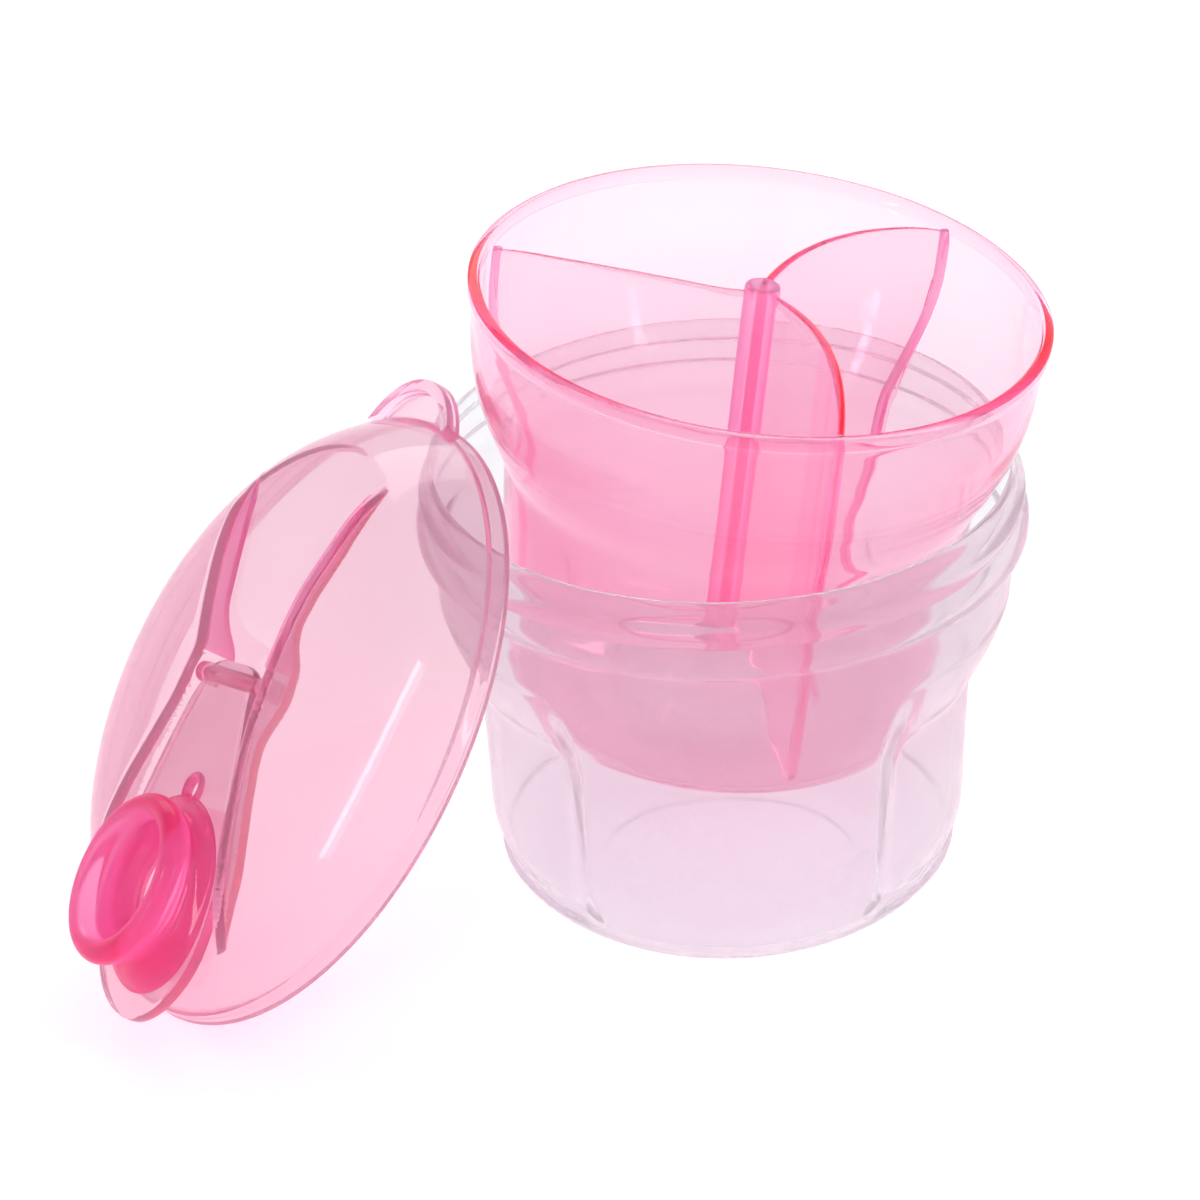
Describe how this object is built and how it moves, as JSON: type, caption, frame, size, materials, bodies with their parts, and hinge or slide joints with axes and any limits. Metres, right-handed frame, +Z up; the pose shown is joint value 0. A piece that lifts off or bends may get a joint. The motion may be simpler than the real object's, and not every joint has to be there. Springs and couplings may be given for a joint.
{
  "type": "toddler snack container",
  "caption": "Clear round cup with side grips, a lifted pink bowl split by a drop-in divider insert, and a leaning pink domed lid with a flip tongue and pouring ring.",
  "frame": {"origin": "centre of the cup's flat base, where it stands", "axes": "+Z up the cup's axis, +X the way the lifted bowl leans, the lid lies on the -X side, -Y is the front"},
  "size_m": [0.1724, 0.1296, 0.121],
  "materials": {
    "clear_plastic": "clear, faintly violet polypropylene, gloss",
    "pink_plastic": "translucent pink polypropylene, gloss",
    "deep_pink_plastic": "translucent pink polypropylene, thicker, gloss"
  },
  "bodies": {
    "cup": {"outer_cup": "clear_plastic"},
    "bowl": {"inner_bowl": "pink_plastic"},
    "insert": {"divider_insert": "pink_plastic"},
    "lid": {"lid_shell": "pink_plastic", "lift_tab": "deep_pink_plastic"},
    "tongue": {"flip_tongue": "pink_plastic", "pour_ring": "deep_pink_plastic", "hinge_pin": "deep_pink_plastic"}
  },
  "joints": [
    {"name": "bowl_lift_out", "type": "slide", "parent": "cup", "child": "bowl", "axis": [0.1219, 0, 0.9925], "range_m": [0, 0.11]},
    {"name": "insert_slide", "type": "slide", "parent": "bowl", "child": "insert", "axis": [0.1219, 0, 0.9925], "range_m": [0, 0.075]},
    {"name": "lid_lift_off", "type": "slide", "parent": "cup", "child": "lid", "axis": [-0.7666, -0.2367, 0.5969], "range_m": [0, 0.1]},
    {"name": "tongue_flip", "type": "hinge", "parent": "lid", "child": "tongue", "pos_m": [-0.08444, -0.02444, 0.05611], "axis": [-0.4944, 0.8107, -0.3135], "range_deg": [0, 110]}
  ]
}
